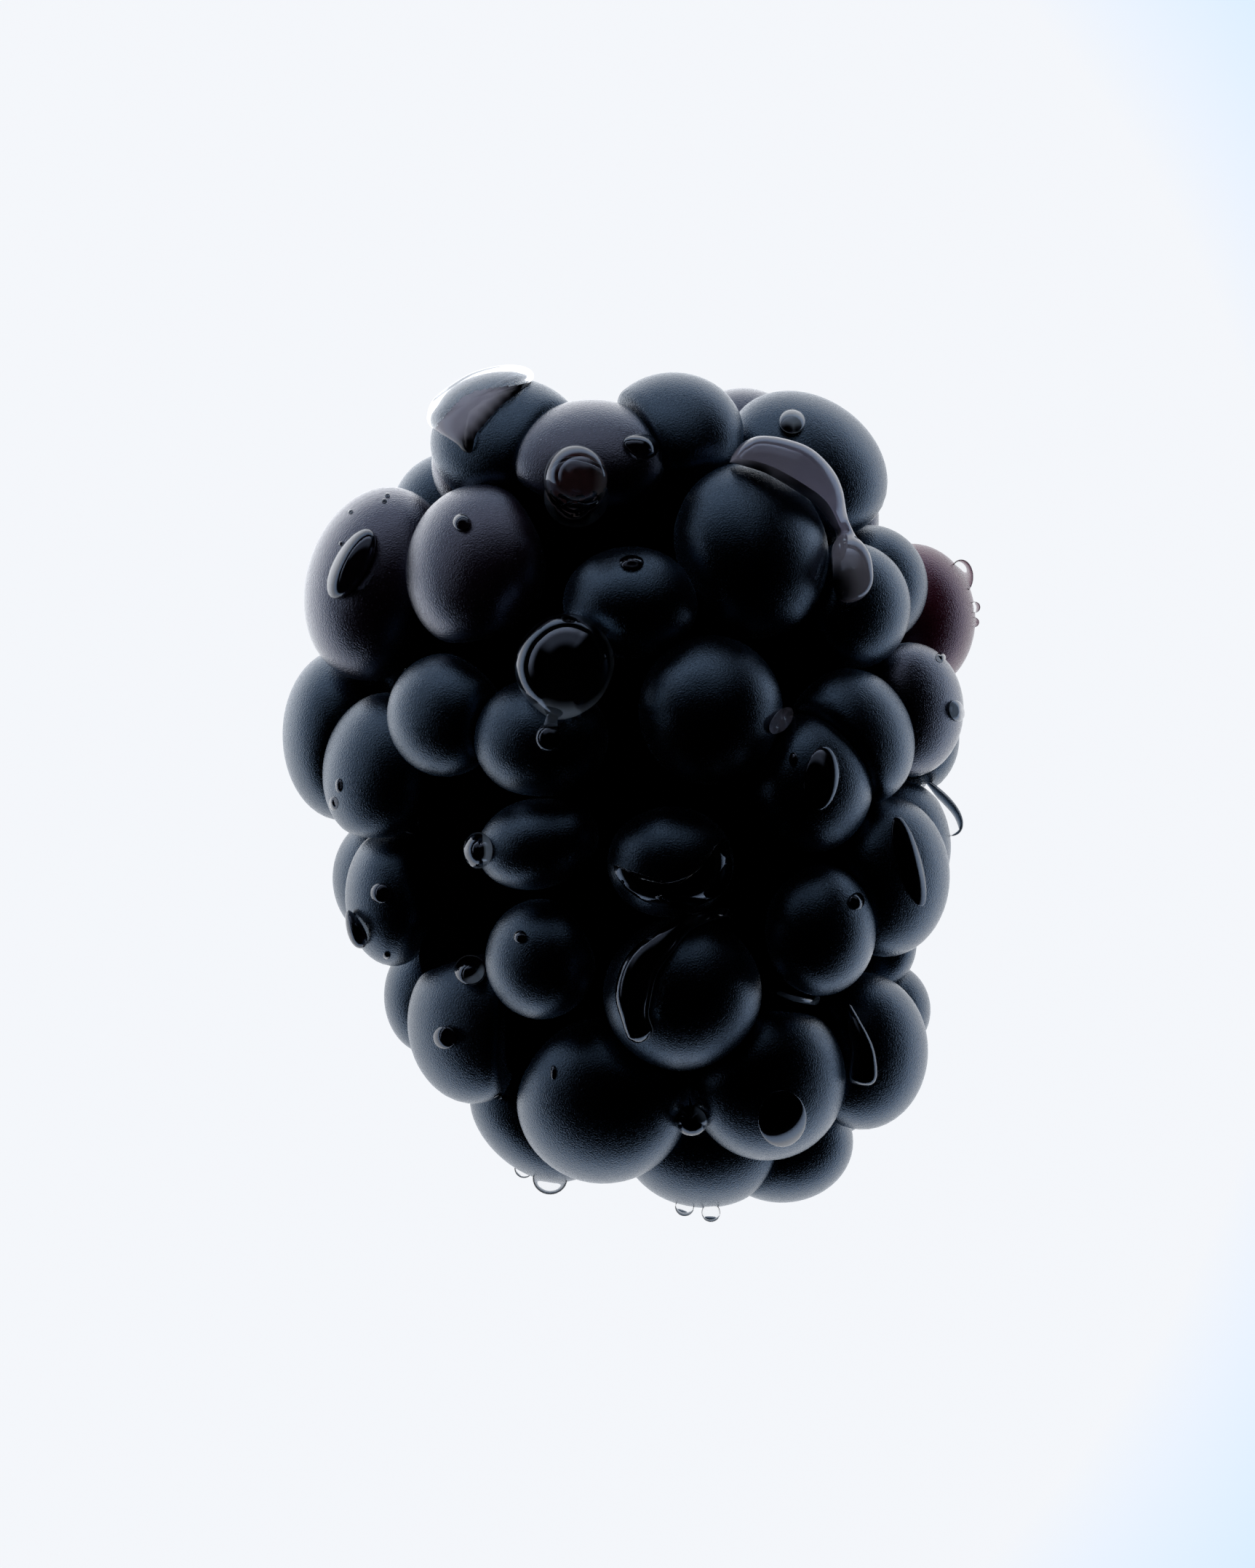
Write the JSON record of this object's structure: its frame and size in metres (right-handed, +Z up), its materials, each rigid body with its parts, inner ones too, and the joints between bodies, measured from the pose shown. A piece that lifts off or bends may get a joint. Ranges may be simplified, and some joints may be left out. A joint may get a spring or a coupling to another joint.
{
  "type": "bramble berry",
  "caption": "Ripe picked bramble berry lying on its side, swollen near-black drupelets set round a hollow stem scar, wet with clear beads and runs of water.",
  "frame": {"origin": "centre of the berry's bounding box, at the level surface it lies on", "axes": "+Z up, +Y along the berry's length towards the stem end, -Y towards the tip, +X across"},
  "size_m": [0.0238, 0.0292, 0.0236],
  "materials": {
    "skin": "taut ripe fruit skin, almost black with a blue bloom, a few drupelets still purple or maroon",
    "water": "clear water"
  },
  "bodies": {
    "root": {"bramble_berry": "skin", "water_bead_brow": "water", "water_bead_centre_left": "water", "water_bead_crown_right": "water", "water_bead_foot_gap": "water", "water_bead_left_cheek": "water", "water_bead_left_hip": "water", "water_bead_left_hip_top": "water", "water_bead_left_waist": "water", "water_bead_left_waist_edge": "water", "water_bead_right_shoulder": "water", "water_bead_tip_a": "water", "water_bead_tip_b": "water", "water_bead_tip_left_a": "water", "water_bead_tip_left_b": "water", "water_bead_upper_middle": "water", "water_drop_brow_oval": "water", "water_drop_centre_left": "water", "water_drop_foot_right": "water", "water_drop_left_shoulder": "water", "water_drop_right_inner": "water", "water_drop_right_waist": "water", "water_film_centre": "water", "water_run_belly": "water", "water_run_right_hip": "water", "water_run_right_rim": "water", "water_run_shoulder": "water", "water_sheet_crown": "water"}
  },
  "joints": []
}
